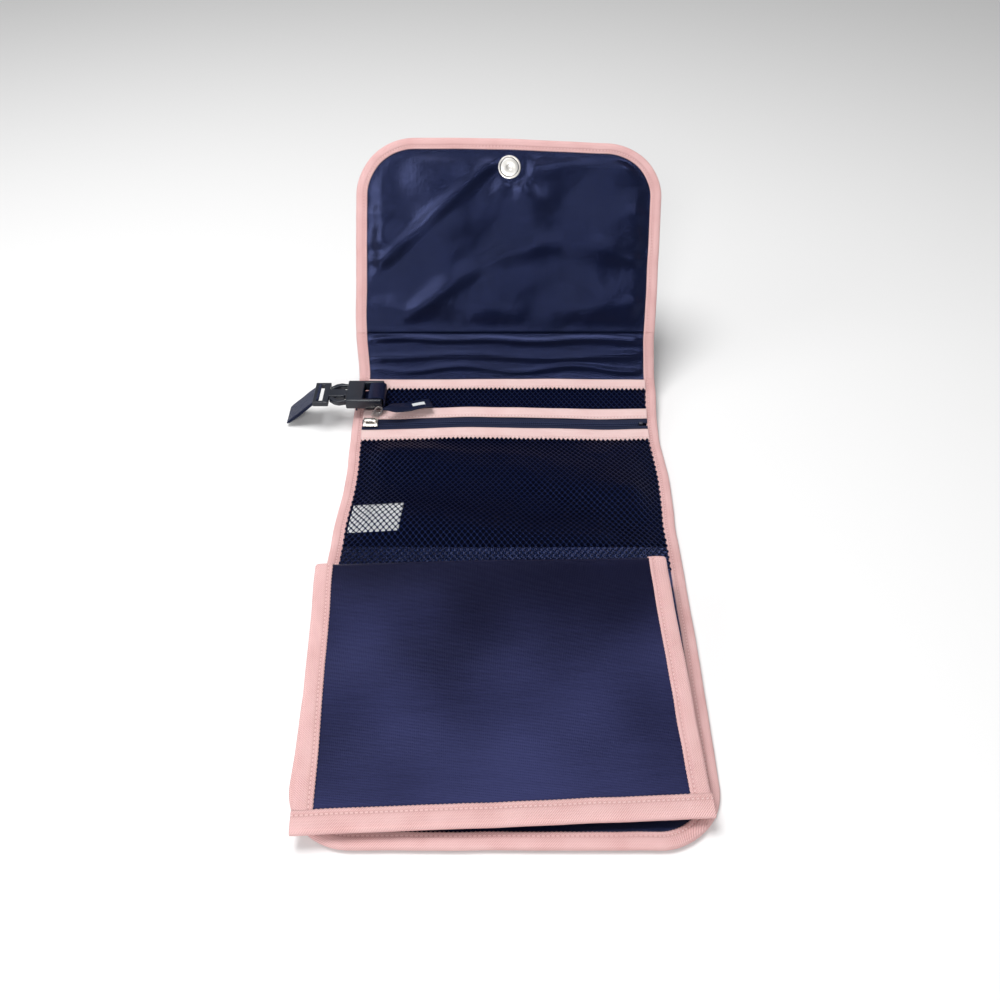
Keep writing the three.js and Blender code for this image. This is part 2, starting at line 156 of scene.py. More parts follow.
def along_strip(along):
    """The place and direction of the lining side, in y and z, that far along the strip."""
    for index in range(1, 6):
        reach = easing[index]
        offset = along - stations[index]
        if abs(offset) < reach:
            before = (corners[index] - corners[index - 1]).normalized()
            after = (corners[index + 1] - corners[index]).normalized()
            start = corners[index] - before * reach
            end = corners[index] + after * reach
            part = (offset + reach) / (2 * reach)
            place = start * (1 - part) ** 2 + corners[index] * 2 * part * (1 - part) + end * part**2
            heading = (before * (1 - part) + after * part).normalized()
            return place, heading
    index = 5
    while index > 0 and along < stations[index]:
        index -= 1
    heading = (corners[index + 1] - corners[index]).normalized()
    return corners[index] + heading * (along - stations[index]), heading


def on_strip(across, along, lift):
    spread = 1 + 0.014 * ease(along, TOP_FOLD, FLAP_FOLD + 20)
    if along > FLAP_FOLD:
        out = (along - FLAP_FOLD) / FLAP_LENGTH
        along -= 5 * out**2 * ease(across, -40, 115)
    place, heading = along_strip(along)
    sway = 1 + (place.x - lower_fold.y - 126) * 0.013 - 1.6 * ease(along, TOP_FOLD, FLAP_FOLD)
    if along > FLAP_FOLD:
        sway += (along - FLAP_FOLD) * 0.018
    sag = 4.2 * ease(FRONT_FOLD - along, 40, 160)
    near_end = ease(FRONT_FOLD - along, 20, 175)
    spread -= 0.02 * near_end
    sway += 1.6 * near_end
    sway += 1.3 * math.sin((along - 30) * 0.047) * ease(along, 0, 30) * ease(TOP_FOLD - along, 0, 25)
    return Vector(
        (
            bag_centre + sway + across * spread,
            place.x - heading.y * lift,
            place.y + heading.x * lift - sag,
        )
    )


def ease(value, low, high):
    part = min(1, max(0, (value - low) / (high - low)))
    return part * part * (3 - 2 * part)


def steps(start, end, pitch):
    count = max(2, round(abs(end - start) / pitch))
    return [start + (end - start) * index / count for index in range(count + 1)]


def mottle(a, b, size, seed):
    """A smooth random number from about -1 to 1 that changes over the given size."""
    return noise.noise(Vector((a / size, b / size, seed * 7.3)))


def lay(name, across, along, place, thick, material, cloth=None):
    """A sheet of cloth: a grid laid out by place, then thickened.

    Its UV map is in millimetres, from cloth where the grid's own numbers aren't millimetres of cloth.
    """
    sheet = bmesh.new()
    bmesh.ops.create_grid(sheet, x_segments=len(across) - 1, y_segments=len(along) - 1, size=1)
    uv = sheet.loops.layers.uv.new("cloth")
    spot = {}
    for vert in sheet.verts:
        a = across[round((vert.co.x + 1) / 2 * (len(across) - 1))]
        b = along[round((vert.co.y + 1) / 2 * (len(along) - 1))]
        spot[vert] = cloth(a, b) if cloth else (a, b)
        vert.co = place(a, b) * 0.001
    for face in sheet.faces:
        face.smooth = True
        for loop in face.loops:
            loop[uv].uv = spot[loop.vert]
    mesh = bpy.data.meshes.new(name)
    sheet.to_mesh(mesh)
    sheet.free()
    piece = bpy.data.objects.new(name, mesh)
    bpy.context.scene.collection.objects.link(piece)
    if thick:
        wall = piece.modifiers.new("thickness", "SOLIDIFY")
        wall.thickness = thick * 0.001
        wall.offset = 0
        bpy.context.view_layer.update()
        built = piece.evaluated_get(bpy.context.evaluated_depsgraph_get())
        solid = bpy.data.meshes.new_from_object(built)
        piece.modifiers.clear()
        piece.data = solid
        bpy.data.meshes.remove(mesh)
        solid.name = name
        shell = bmesh.new()
        shell.from_mesh(solid)
        bmesh.ops.recalc_face_normals(shell, faces=shell.faces)
        shell.to_mesh(solid)
        shell.free()
    piece.data.materials.clear()
    piece.data.materials.append(material)
    return piece


def stand_for(piece, replaced, body=None):
    """Puts a piece in the place of a node, and attaches it to body if one is given."""
    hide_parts(replaced)
    if body:
        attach(piece, body)


# Cloth patterns.
# Twill for the binding tape, ribs for the canvas, fine threads for the lining and an open net for the
# pocket, each worked out from the cloth's own millimetres.


def maths(tree, operation, *values):
    node = tree.nodes.new("ShaderNodeMath")
    node.operation = operation
    for socket, value in zip(node.inputs, values):
        if isinstance(value, (int, float)):
            socket.default_value = value
        else:
            tree.links.new(value, socket)
    return node.outputs[0]


def pattern_group(name, inputs, outputs):
    tree = bpy.data.node_groups.new(name, "ShaderNodeTree")
    for label, kind in inputs:
        tree.interface.new_socket(label, in_out="INPUT", socket_type=kind)
    for label, kind in outputs:
        tree.interface.new_socket(label, in_out="OUTPUT", socket_type=kind)
    entry = tree.nodes.new("NodeGroupInput")
    leave = tree.nodes.new("NodeGroupOutput")
    return tree, entry.outputs, leave.inputs


NUMBER, VECTOR = "NodeSocketFloat", "NodeSocketVector"


def speckle(tree, vector, scale, detail=2):
    node = tree.nodes.new("ShaderNodeTexNoise")
    node.inputs["Scale"].default_value = scale
    node.inputs["Detail"].default_value = detail
    tree.links.new(vector, node.inputs["Vector"])
    return node.outputs["Fac"]


def build_thread_pattern():
    """Slanting or straight threads, with their pitch in mm, broken up a little along their length."""
    tree, entry, leave = pattern_group(
        "threads",
        [("Cloth", VECTOR), ("Pitch", NUMBER), ("Slant", NUMBER)],
        [("Height", NUMBER), ("Across", NUMBER), ("Along", NUMBER)],
    )
    parts = tree.nodes.new("ShaderNodeSeparateXYZ")
    tree.links.new(entry["Cloth"], parts.inputs[0])
    slid = maths(tree, "MULTIPLY_ADD", parts.outputs["X"], entry["Slant"], parts.outputs["Y"])
    turns = maths(tree, "DIVIDE", slid, entry["Pitch"])
    wave = maths(tree, "SINE", maths(tree, "MULTIPLY", turns, 2 * math.pi))
    crossing = maths(tree, "DIVIDE", parts.outputs["X"], entry["Pitch"])
    cross_wave = maths(tree, "SINE", maths(tree, "MULTIPLY", crossing, 1.7 * math.pi))
    woven = maths(tree, "MULTIPLY_ADD", cross_wave, 0.2, wave)
    tree.links.new(woven, leave["Height"])
    tree.links.new(parts.outputs["X"], leave["Across"])
    tree.links.new(parts.outputs["Y"], leave["Along"])
    return tree


def build_stitch_pattern():
    """A row of stitches: 1 on the thread, 0 off it, with the row's place and the stitch length."""
    tree, entry, leave = pattern_group(
        "stitches",
        [("Across", NUMBER), ("Along", NUMBER), ("Row", NUMBER), ("Length", NUMBER)],
        [("Thread", NUMBER), ("Pucker", NUMBER)],
    )
    away = maths(tree, "ABSOLUTE", maths(tree, "SUBTRACT", entry["Across"], entry["Row"]))
    turn = maths(tree, "FRACT", maths(tree, "DIVIDE", entry["Along"], entry["Length"]))
    middle = maths(tree, "ABSOLUTE", maths(tree, "SUBTRACT", turn, 0.5))
    on_row = maths(tree, "LESS_THAN", away, 0.42)
    on_stitch = maths(tree, "LESS_THAN", middle, 0.33)
    tree.links.new(maths(tree, "MULTIPLY", on_row, on_stitch), leave["Thread"])
    groove = maths(tree, "SUBTRACT", 1, maths(tree, "MINIMUM", maths(tree, "DIVIDE", away, 1.3), 1))
    tree.links.new(groove, leave["Pucker"])
    return tree


thread_pattern = build_thread_pattern()
stitch_pattern = build_stitch_pattern()


def start_cloth(name, roughness, gloss=0.25, shine=(1, 1, 1, 1)):
    """A cloth material, with its shader and its UV map in millimetres. Shine tints the highlights."""
    material = bpy.data.materials.new(name)
    material.use_nodes = True
    tree = material.node_tree
    shader = tree.nodes["Principled BSDF"]
    shader.inputs["Roughness"].default_value = roughness
    shader.inputs["Specular IOR Level"].default_value = gloss
    shader.inputs["Specular Tint"].default_value = shine
    cloth_map = tree.nodes.new("ShaderNodeUVMap")
    cloth_map.uv_map = "cloth"
    return material, tree, shader, cloth_map.outputs[0]


def place_group(tree, group, **values):
    node = tree.nodes.new("ShaderNodeGroup")
    node.node_tree = group
    for label, value in values.items():
        if isinstance(value, (int, float)):
            node.inputs[label].default_value = value
        else:
            tree.links.new(value, node.inputs[label])
    return node.outputs


def blend_colours(tree, part, first, second):
    node = tree.nodes.new("ShaderNodeMix")
    node.data_type = "RGBA"
    for socket, value in ((node.inputs[0], part), (node.inputs[6], first), (node.inputs[7], second)):
        if isinstance(value, bpy.types.NodeSocket):
            tree.links.new(value, socket)
        else:
            socket.default_value = value
    return node.outputs[2]


def add_bump(tree, shader, height, strength, depth):
    node = tree.nodes.new("ShaderNodeBump")
    node.inputs["Strength"].default_value = strength
    node.inputs["Distance"].default_value = depth
    tree.links.new(height, node.inputs["Height"])
    tree.links.new(node.outputs[0], shader.inputs["Normal"])


def tape_cloth(name, colour, deep, stitch_row, pitch=1.3):
    """Cotton twill tape with a row of stitching near its inner edge, and painted shade in the puckered
    groove along it.
    """
    material, tree, shader, cloth = start_cloth(name, 0.85)
    threads = place_group(tree, thread_pattern, Cloth=cloth, Pitch=pitch, Slant=1.0)
    row = place_group(
        tree,
        stitch_pattern,
        Across=threads["Across"],
        Along=threads["Along"],
        Row=stitch_row,
        Length=2.6,
    )
    blotch = speckle(tree, cloth, 0.045, 3)
    grain = maths(tree, "MULTIPLY_ADD", threads["Height"], -0.3, blotch)
    shade = maths(tree, "MULTIPLY_ADD", maths(tree, "SUBTRACT", grain, 0.42), 1.5, 0.0)
    shade = maths(tree, "MINIMUM", maths(tree, "MAXIMUM", shade, 0), 1)
    dyed = blend_colours(tree, shade, colour, deep)
    # Painted shade: the tape is painted deeper in the puckered groove along the stitching.
    dyed = blend_colours(tree, maths(tree, "MULTIPLY", row["Pucker"], 0.8), dyed, deep)
    pale = [min(1, part * 1.1 + 0.04) for part in colour[:3]] + [1]
    stitched = blend_colours(tree, maths(tree, "MULTIPLY", row["Thread"], 0.75), dyed, pale)
    tree.links.new(stitched, shader.inputs["Base Color"])
    height = maths(tree, "MULTIPLY_ADD", row["Pucker"], -1.6, threads["Height"])
    height = maths(tree, "MULTIPLY_ADD", row["Thread"], 1.8, height)
    add_bump(tree, shader, height, 0.8, 0.0004)
    return material


PINK = (0.93, 0.60, 0.59, 1)
DEEP_PINK = (0.66, 0.31, 0.30, 1)
binding_cloth = tape_cloth("binding_twill", PINK, DEEP_PINK, 2.6)
flat_tape_cloth = tape_cloth("edging_twill", (0.97, 0.72, 0.70, 1), (0.84, 0.50, 0.49, 1), 1.5)


def canvas_cloth(name, painted_light_rate):
    """Coated canvas: fine ribs, bright flecks and long streaks painted paler as a painted sheen. The
    last argument is how much paler it is painted per mm along past 85 mm, and darker before it: a
    painted highlight and shade.
    """
    material, tree, shader, cloth = start_cloth(name, 0.4, 0.22, (0.5, 0.55, 1, 1))
    ribs = place_group(tree, thread_pattern, Cloth=cloth, Pitch=0.9, Slant=0.03)
    flecks = speckle(tree, cloth, 0.9, 2)
    streaks = tree.nodes.new("ShaderNodeMapping")
    streaks.inputs["Scale"].default_value = (0.06, 1.0, 1)
    tree.links.new(cloth, streaks.inputs["Vector"])
    streak = speckle(tree, streaks.outputs[0], 0.55, 3)
    # Painted sheen: the streaks are painted paler. Their roughness and bump below are real.
    painted_sheen_streaks = maths(tree, "MULTIPLY_ADD", streak, 0.4, 0.35)
    mixed = maths(tree, "MULTIPLY_ADD", ribs["Height"], 0.2, painted_sheen_streaks)
    mixed = maths(tree, "MULTIPLY_ADD", flecks, 0.35, mixed)
    wide = speckle(tree, cloth, 0.011, 1)
    mixed = maths(tree, "MULTIPLY_ADD", maths(tree, "SUBTRACT", wide, 0.5), 1.8, mixed)
    # Painted light: the colour is darker before 85 mm along and paler after it, a painted shade and
    # highlight.
    painted_light_ramp = maths(tree, "MULTIPLY_ADD", ribs["Along"], painted_light_rate, -85 * painted_light_rate)
    mixed = maths(tree, "MULTIPLY_ADD", painted_light_ramp, 0.75, mixed)
    part = maths(tree, "MINIMUM", maths(tree, "MAXIMUM", maths(tree, "SUBTRACT", mixed, 0.25), 0), 1)
    dyed = blend_colours(tree, part, (0.002, 0.002, 0.014, 1), (0.034, 0.038, 0.115, 1))
    tree.links.new(dyed, shader.inputs["Base Color"])
    rough = maths(tree, "MULTIPLY_ADD", streak, 0.1, 0.35)
    tree.links.new(rough, shader.inputs["Roughness"])
    height = maths(tree, "MULTIPLY_ADD", streak, 0.9, ribs["Height"])
    height = maths(tree, "MULTIPLY_ADD", flecks, 1.3, height)
    add_bump(tree, shader, height, 0.7, 0.0003)
    return material


canvas = canvas_cloth("coated_canvas", 0)
# The leaf's canvas gets a painted highlight that grows towards its foot, and painted shade near its
# fold.
leaf_canvas = canvas_cloth("leaf_canvas", 0.0085)


def satin_cloth(name, dark, light, roughness, wrinkle, gloss):
    """Nylon lining: smooth threads, soft creases and a clear shine, with its colour painted lighter on
    the crease tops and darker in their hollows as painted light and shade.
    """
    material, tree, shader, cloth = start_cloth(name, roughness, gloss, (0.34, 0.42, 1, 1))
    fine = place_group(tree, thread_pattern, Cloth=cloth, Pitch=0.9, Slant=0.6)
    crease = speckle(tree, cloth, 0.03, 4)
    part = maths(tree, "MULTIPLY_ADD", fine["Height"], 0.06, crease)
    # Painted light and shade: the colour follows the crease relief, lighter on its tops and darker in
    # its hollows.
    tree.links.new(blend_colours(tree, part, dark, light), shader.inputs["Base Color"])
    height = maths(tree, "MULTIPLY_ADD", crease, wrinkle, maths(tree, "MULTIPLY", fine["Height"], 0.12))
    add_bump(tree, shader, height, 0.6, 0.001)
    return material


satin = satin_cloth("lining_satin", (0.001, 0.002, 0.006, 1), (0.002, 0.004, 0.020, 1), 0.22, 3.0, 0.5)
plain_satin = satin_cloth(
    "pocket_satin", (0.001, 0.001, 0.005, 1), (0.001, 0.002, 0.010, 1), 0.5, 1.5, 0.06
)


def net_cloth():
    """Warp-knit net: diamond holes between navy threads, painted paler along their middles as a painted
    sheen.
    """
    material, tree, shader, cloth = start_cloth("pocket_net", 0.28, 0.22, (0.15, 0.3, 1, 1))
    tree_parts = place_group(tree, thread_pattern, Cloth=cloth, Pitch=0.8, Slant=1.0)
    wide = maths(tree, "COSINE", maths(tree, "MULTIPLY", tree_parts["Across"], 2 * math.pi / 4.2))
    tall = maths(tree, "COSINE", maths(tree, "MULTIPLY", tree_parts["Along"], 2 * math.pi / 5.5))
    net = maths(tree, "ABSOLUTE", maths(tree, "ADD", wide, tall))
    thread = maths(tree, "LESS_THAN", net, 0.58)
    tree.links.new(thread, shader.inputs["Alpha"])
    # Painted sheen: each thread is painted paler along its middle and darker towards the holes.
    shine = maths(tree, "SUBTRACT", 1, maths(tree, "MULTIPLY", net, 1.4))
    dyed = blend_colours(tree, shine, (0.001, 0.001, 0.006, 1), (0.004, 0.007, 0.030, 1))
    tree.links.new(dyed, shader.inputs["Base Color"])
    add_bump(tree, shader, maths(tree, "MULTIPLY", net, -1), 0.8, 0.0005)
    return material


net = net_cloth()

# Back panel.
# Canvas, a stiff board and a satin lining, bound down both sides with folded pink tape. It lies
# flat and rises towards the top spine.

SKIN = 1.0
CANVAS_LEVEL = -3.7
LINING_LEVEL = -0.95


def back_sheet(name, start, end, level, thick, material, replaced):
    """A cloth layer of the back panel. Level is its lift from the lining side."""

    def place(a, b):
        return on_strip(a, b, level)

    piece = lay(name, steps(SKIN - HALF, HALF - SKIN, 6), steps(start, end, 4), place, thick, material)
    stand_for(piece, replaced)
    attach(piece, "back_panel")


outer_end = TOP_FOLD - 0.2
back_sheet(
    "back_canvas_cloth", 1, outer_end, CANVAS_LEVEL, 0.7, canvas, "back_canvas"
)
back_sheet(
    "back_lining_cloth", 0.3, TOP_FOLD, LINING_LEVEL, 0.4, plain_satin, "back_lining",
)


def straight_edge(side, start, end):
    """Points down one side of the strip: across, along, and the way inwards, across and along."""
    return [(side * HALF, along, -side, 0) for along in steps(start, end, 0.7)]


BINDING_WIDTH = 9.0
BINDING_ROUND = 2.55


def bind(name, path, first, material, body, replaced, seed):
    """Tape folded over an edge that follows path, whose length starts at first.

    Its section runs from the inner edge on the lining side, round the edge, to the canvas side. Each
    point has its inset from the edge, its lift from the lining side and its run across the tape.
    """
    runs = [first]
    for before, after in zip(path, path[1:]):
        runs.append(runs[-1] + math.hypot(after[0] - before[0], after[1] - before[1]))
    flat = BINDING_WIDTH - BINDING_ROUND
    section = [(BINDING_WIDTH - index * flat / 7, -0.35, index * flat / 7) for index in range(7)]
    for index in range(9):
        turn = math.pi * index / 8
        inset = BINDING_ROUND - 2.2 * math.sin(turn)
        section.append((inset, -BINDING_ROUND + 2.2 * math.cos(turn), 6.45 + index * 0.86))
    section += [(BINDING_ROUND + index * flat / 3, -4.75, 13.3 + index * 2.1) for index in range(1, 4)]

    def place(column, row):
        inset, lift, _ = section[column]
        across, along, inward_x, inward_y = path[row]
        run = runs[row]
        if column == 0:
            inset += 0.22 * math.sin(2 * math.pi * run / 2.4)
        if column < 8:
            lift += 0.35 * math.sin(math.pi * column / 8) + 0.25 * mottle(run, column * 2, 14, seed)
        inset += 0.35 * mottle(run, 0, 22, seed + 5)
        return on_strip(across + inward_x * inset, along + inward_y * inset, lift)

    def cloth(column, row):
        return section[column][2], runs[row]

    piece = lay(name, range(len(section)), range(len(path)), place, 0.6, material, cloth)
    stand_for(piece, replaced, body)
    return piece


for side, word in ((-1, "left"), (1, "right")):
    path, replaced = straight_edge(side, 0, TOP_FOLD), f"back_binding_{word}"
    bind(f"{replaced}_tape", path, 0, binding_cloth, "back_panel", replaced, 20 + side)


def board_stock():
    """Grey pulp board with a faint fibre grain."""
    material = bpy.data.materials.new("pulp_board")
    material.use_nodes = True
    tree = material.node_tree
    where = tree.nodes.new("ShaderNodeTexCoord")
    fibre = speckle(tree, where.outputs["Object"], 900, 3)
    dyed = blend_colours(tree, fibre, (0.18, 0.18, 0.19, 1), (0.32, 0.32, 0.33, 1))
    tree.links.new(dyed, tree.nodes["Principled BSDF"].inputs["Base Color"])
    tree.nodes["Principled BSDF"].inputs["Roughness"].default_value = 0.9
    return material


board = board_stock()
for name in ("back_board", "flap_board"):
    cad_nodes[name].data.materials.clear()
    cad_nodes[name].data.materials.append(board)

# Mesh pocket.
# A loose panel of net sewn in under the side bindings, with the zip along its top and a pink tape
# along its foot on the bottom spine. A blank white care label is sewn in at its left.

POCKET_HALF = 111.5
POCKET_FOOT = -24
ZIP_BASE = KINK - 0.5


def pocket_height(a, b):
    sides = ease(POCKET_HALF - abs(a), 0, 22)
    ends = ease(b, -22, 12) * ease(ZIP_BASE + 4 - b, 0, 26)
    swell = 3.4 + 2.8 * mottle(a, b, 50, 1) + 1.8 * math.sin(a * 0.02 + b * 0.085 + 1.0)
    swell += 0.6 * mottle(a + b, b - a, 20, 2)
    return 0.5 + 0.9 * ease(b, 60, ZIP_BASE) + max(0, swell) * sides * ends


def net_place(a, b):
    return on_strip(a, b, pocket_height(a, b))


pocket_net = lay(
    "mesh_pocket_net",
    steps(-POCKET_HALF, POCKET_HALF, 2.5),
    steps(POCKET_FOOT, ZIP_BASE + 3, 2.5),
    net_place,
    0,
    net,
)
stand_for(pocket_net, "mesh_pocket")
on_strip(0, 2, 0) * 0.001
on_strip(0, -7, 0) * 0.001
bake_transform(pocket_net)


def flat_tape(name, start, end, lift, wander, seed, body, replaced, picot=False, right=POCKET_HALF):
    """A flat tape across the bag, whose lower edge is a row of small loops where it has a picot."""
    rows = steps(0, abs(end - start), 1.4)

    def place(a, b):
        along = start + (end - start) * b / rows[-1]
        along += wander * math.sin(a * 0.034 + seed) + 0.5 * wander * mottle(a, 0, 30, seed)
        if picot and b == 0:
            along += 1.1 * math.sin(2 * math.pi * a / 3.4)
        crown = 0.35 * math.sin(math.pi * b / rows[-1]) + 0.5 * mottle(a, along, 24, seed + 3)
        return on_strip(a, along, lift + crown)

    def turned(a, b):
        return b, a

    columns = steps(-POCKET_HALF, right, 0.65)
    piece = lay(name, columns, rows, place, 0.6, flat_tape_cloth, turned)
    stand_for(piece, replaced, body)
    return piece


flat_tape("pocket_foot_tape", -28, -22, 0.2, 0.2, 4, "bottom_spine", "pocket_bottom_tape", right=103)


def label_cloth():
    """White woven label, left blank, with two faint folds."""
    material, tree, shader, cloth = start_cloth("blank_label", 0.6)
    weave = place_group(tree, thread_pattern, Cloth=cloth, Pitch=0.7, Slant=0.0)
    part = maths(tree, "MULTIPLY_ADD", weave["Height"], 0.2, 0.5)
    dyed = blend_colours(tree, part, (0.72, 0.73, 0.75, 1), (0.86, 0.87, 0.88, 1))
    tree.links.new(dyed, shader.inputs["Base Color"])
    add_bump(tree, shader, weave["Height"], 0.3, 0.0002)
    return material


label_low, label_high = (point * 1000 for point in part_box("care_label"))


def label_place(a, b):
    across = label_low.x - bag_centre + a
    along = label_low.y - lower_fold.y + b + a * 0.075
    return on_strip(across, along, -0.35 + 0.25 * ease(a, 20, 36) + 0.1 * math.sin(b * 0.5))


label_grid = steps(0, 35.4, 2), steps(0, 28, 2)
care_label = lay("care_label_cloth", *label_grid, label_place, 0.25, label_cloth())
stand_for(care_label, "care_label")
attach(care_label, "back_panel")

# Zip front.
# A band of net above the zip, a pink tape along the top spine's seam, and the zip itself between
# two pink tapes. The coil is woven over, so it shows as two fine ridges.


def band_place(a, b):
    sides = ease(POCKET_HALF - abs(a), 0, 20)
    return on_strip(a, ZIP_BASE + b, 1.1 + 0.6 * sides * mottle(a, b * 2, 32, 6))


band_across = steps(-POCKET_HALF, POCKET_HALF, 2.5)
mesh_band = lay("mesh_band_net", band_across, steps(19.8, 61, 2.5), band_place, 0, net)
stand_for(mesh_band, "mesh_band")
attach(mesh_band, "back_panel")

for name, low, high, wander, seed, replaced, picot in (
    ("top_seam_tape", 52, 62, 0.3, 1, "top_tape", True),
    ("zip_tape_pink_upper", 20.9, 31, 1.1, 2, "zip_edge_tape_upper", False),
    ("zip_tape_pink_lower", -0.4, 10.2, 1.1, 2, "zip_edge_tape_lower", True),
):
    flat_tape(name, ZIP_BASE + low, ZIP_BASE + high, 2.1, wander, seed, "back_panel", replaced, picot)


def zip_cloth(name, dark, light):
    """Herringbone zip tape in navy polyester."""
    material, tree, shader, cloth = start_cloth(name, 0.6)
    left = place_group(tree, thread_pattern, Cloth=cloth, Pitch=1.4, Slant=0.9)
    part = maths(tree, "MULTIPLY_ADD", left["Height"], 0.3, 0.45)
    tree.links.new(blend_colours(tree, part, dark, light), shader.inputs["Base Color"])
    add_bump(tree, shader, left["Height"], 0.6, 0.0004)
    return material


zip_weave = zip_cloth("zip_herringbone", (0.003, 0.005, 0.020, 1), (0.016, 0.024, 0.070, 1))
coil_weave = zip_cloth("coil_nylon", (0.006, 0.009, 0.030, 1), (0.030, 0.042, 0.105, 1))
ZIP_MIDDLE = ZIP_BASE + 15.5
ZIP_END = 104.5


def zip_strip(name, near, far, lift, ridge, material, replaced, reach):
    """One edge of the zip. Near and far are measured from the middle of the zip."""

    def place(a, b):
        along = ZIP_MIDDLE + b + 1.1 * math.sin(a * 0.034 + 2) + 0.55 * mottle(a, 0, 30, 2)
        crown = ridge * math.sin(math.pi * (b - near) / (far - near))
        if ridge:
            crown += 0.12 * math.sin(2 * math.pi * a / 1.5)
        return on_strip(a, along, lift + crown)

    rows = steps(near, far, 0.35 if ridge else 1.2)
    piece = lay(name, steps(-reach, reach, 0.5), rows, place, 0.5, material)
    stand_for(piece, replaced, "back_panel")


zip_strip("zip_weave_upper", 1.3, 6.2, 1.3, 0, zip_weave, "zip_tape_upper", POCKET_HALF)
zip_strip("zip_weave_lower", -6.2, -1.3, 1.3, 0, zip_weave, "zip_tape_lower", POCKET_HALF)
zip_strip("zip_coil_row_upper", 0.3, 1.5, 1.5, 0.5, coil_weave, "zip_coil_upper", ZIP_END)
zip_strip("zip_coil_row_lower", -1.5, -0.3, 1.5, 0.5, coil_weave, "zip_coil_lower", ZIP_END)

# Zip slider, pull tab and ribbon.
# A nickel slider with a bridge, a flat pull tab with a round eye, and a navy ribbon looped through
# the eye that lies over the net.


def metal_stock(name, colour, roughness, scale):
    """Plated metal with fine scratches and slightly worn patches."""
    material = bpy.data.materials.new(name)
    material.use_nodes = True
    tree = material.node_tree
    shader = tree.nodes["Principled BSDF"]
    shader.inputs["Metallic"].default_value = 1.0
    where = tree.nodes.new("ShaderNodeTexCoord")
    worn = speckle(tree, where.outputs["Object"], scale, 4)
    fine = speckle(tree, where.outputs["Object"], scale * 9, 2)
    dull = [part * 0.72 for part in colour] + [1]
    tree.links.new(blend_colours(tree, worn, (*colour, 1), dull), shader.inputs["Base Color"])
    tree.links.new(maths(tree, "MULTIPLY_ADD", worn, 0.3, roughness - 0.12), shader.inputs["Roughness"])
    add_bump(tree, shader, fine, 0.15, 0.0001)
    return material


nickel = metal_stock("worn_nickel", (0.74, 0.71, 0.67), 0.28, 260)


def softened(name, node, radius, segments, material, body):
    """A copy of a hard CAD node with its triangles joined into flat faces and its edges rounded."""
    solid = bmesh.new()
    solid.from_mesh(cad_nodes[node].data)
    bmesh.ops.remove_doubles(solid, verts=solid.verts, dist=0.00002)
    bmesh.ops.dissolve_limit(
        solid, angle_limit=math.radians(1.5), verts=solid.verts, edges=solid.edges
    )
    sharp = [edge for edge in solid.edges if len(edge.link_faces) == 2 and edge.calc_face_angle() > 0.5]
    bmesh.ops.bevel(
        solid,
        geom=sharp,
        offset=radius * 0.001,
        offset_type="OFFSET",
        segments=segments,
        profile=0.5,
        affect="EDGES",
        clamp_overlap=True,
        material=-1,
    )
    bmesh.ops.triangulate(solid, faces=[face for face in solid.faces if len(face.verts) > 4])
    bmesh.ops.recalc_face_normals(solid, faces=solid.faces)
    for face in solid.faces:
        face.smooth = True
    for edge in solid.edges:
        if len(edge.link_faces) == 2 and edge.calc_face_angle() > 0.7:
            edge.smooth = False
    mesh = bpy.data.meshes.new(name)
    solid.to_mesh(mesh)
    solid.free()
    mesh.materials.append(material)
    piece = bpy.data.objects.new(name, mesh)
    bpy.context.scene.collection.objects.link(piece)
    stand_for(piece, node, body)
    return piece


softened("zip_slider_metal", "zip_slider", 0.35, 3, nickel, "zip_slider")
softened("zip_pull_tab_metal", "zip_pull_tab", 0.3, 3, nickel, "zip_pull_tab")
dull_metal = metal_stock("dull_clip", (0.10, 0.10, 0.13), 0.6, 260)
softened("zip_stop_metal", "zip_stop_right", 0.25, 2, dull_metal, "back_panel")


def ribbon_cloth():
    """Navy satin ribbon with a plain pale bar near its end."""
    material, tree, shader, cloth = start_cloth("puller_ribbon", 0.4, 0.15)
    ribs = place_group(tree, thread_pattern, Cloth=cloth, Pitch=1.0, Slant=0.0)
    part = maths(tree, "MULTIPLY_ADD", ribs["Height"], 0.25, 0.5)
    dyed = blend_colours(tree, part, (0.002, 0.004, 0.016, 1), (0.006, 0.010, 0.036, 1))
    away = maths(tree, "ABSOLUTE", maths(tree, "SUBTRACT", ribs["Along"], 32.0))
    low = maths(tree, "ABSOLUTE", maths(tree, "SUBTRACT", ribs["Across"], 0.6))
    on_bar = [maths(tree, "LESS_THAN", away, 5.0), maths(tree, "LESS_THAN", low, 2.0)]
    inside = maths(tree, "MULTIPLY", *on_bar)
    marked = blend_colours(tree, inside, dyed, (0.62, 0.64, 0.66, 1))
    tree.links.new(marked, shader.inputs["Base Color"])
    add_bump(tree, shader, ribs["Height"], 0.4, 0.0003)
    return material


eye = pivots["ribbon_swing"]
RIBBON_TURN = math.radians(19)
RIBBON_DROP = math.radians(5)


def ribbon_place(a, b):
    spread = 1 + 4.6 * ease(b, 3, 13)
    out = Vector((math.cos(RIBBON_TURN), math.sin(RIBBON_TURN), 0))
    side = Vector((-out.y, out.x, 0))
    sag = -b * math.sin(RIBBON_DROP) + 0.5 * math.sin(b * 0.22) + 0.3 * math.sin(a * 0.5 + b * 0.1)
    return eye + out * (b * math.cos(RIBBON_DROP)) + side * (a / 5.5 * spread) + Vector((0, 0, sag))


ribbon_grid = steps(-5.5, 5.5, 0.8), steps(1.8, 42, 1)
ribbon = lay("ribbon_puller_cloth", *ribbon_grid, ribbon_place, 0.6, ribbon_cloth())
stand_for(ribbon, "ribbon_puller", "ribbon_puller")

# Buckle and webbing.
# A 20 mm side-release buckle in moulded plastic. A folded tab of webbing holds its socket to the
# side seam, and a loop of the same webbing hangs on the plug's bar.


